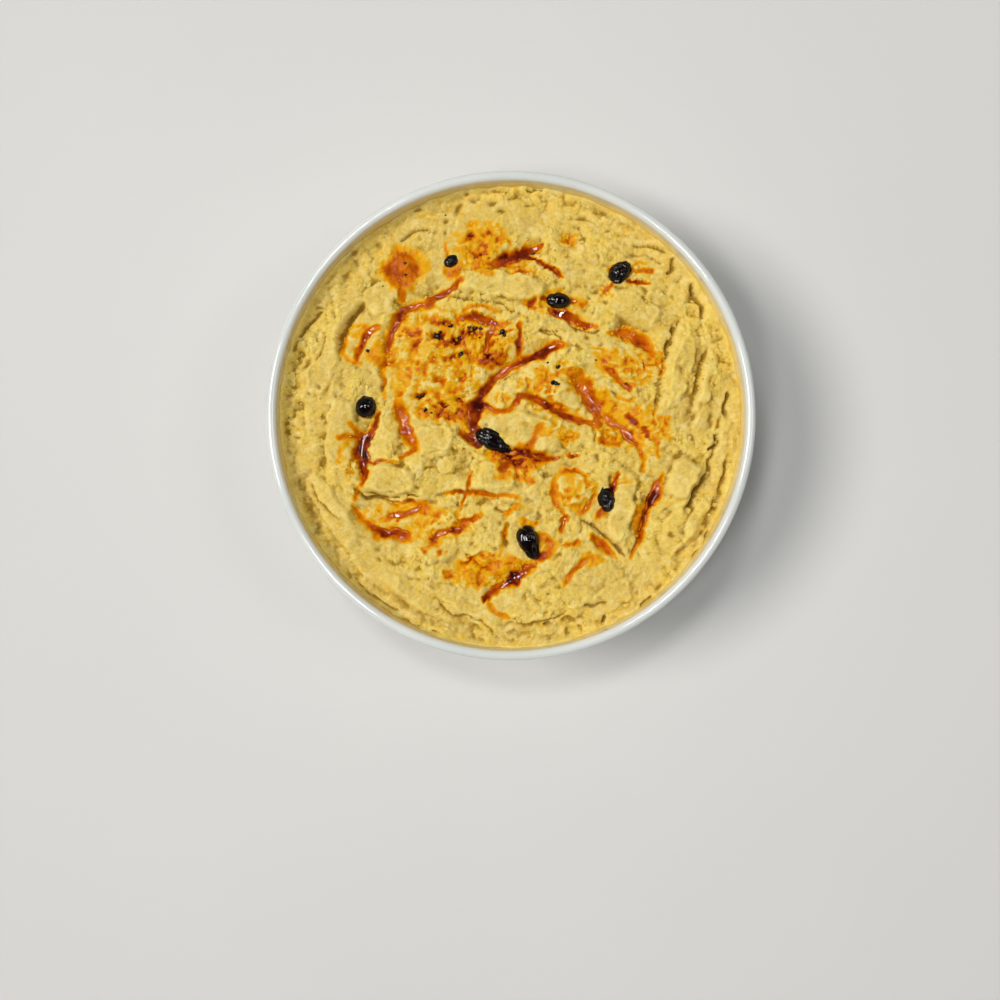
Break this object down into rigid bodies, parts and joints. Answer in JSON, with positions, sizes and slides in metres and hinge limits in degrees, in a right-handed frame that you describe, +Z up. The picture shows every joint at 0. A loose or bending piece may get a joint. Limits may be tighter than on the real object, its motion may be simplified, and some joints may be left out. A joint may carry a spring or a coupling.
{
  "type": "bowl of hummus",
  "caption": "Thick chickpea hummus in a round white porcelain bowl, its top spread in uneven spoon folds with streaks of dark red oil and a few dark, shiny, wrinkled berries.",
  "frame": {"origin": "middle of the foot ring, on the surface that the bowl stands on", "axes": "+Z up through the middle of the bowl, +Y away from the viewer, +X to the right"},
  "size_m": [0.17, 0.17, 0.062],
  "materials": {
    "porcelain": "smooth clear glaze on plain white porcelain",
    "paste": "coarse moist chickpea paste, soft sheen",
    "berry": "wrinkled, near-black, shiny with oil"
  },
  "bodies": {
    "root": {"bowl": "porcelain", "hummus": "paste", "berry_left": "berry", "berry_upper": "berry", "berry_right": "berry", "berry_middle": "berry", "berry_side": "berry", "berry_front": "berry", "berry_small": "berry"}
  },
  "joints": []
}
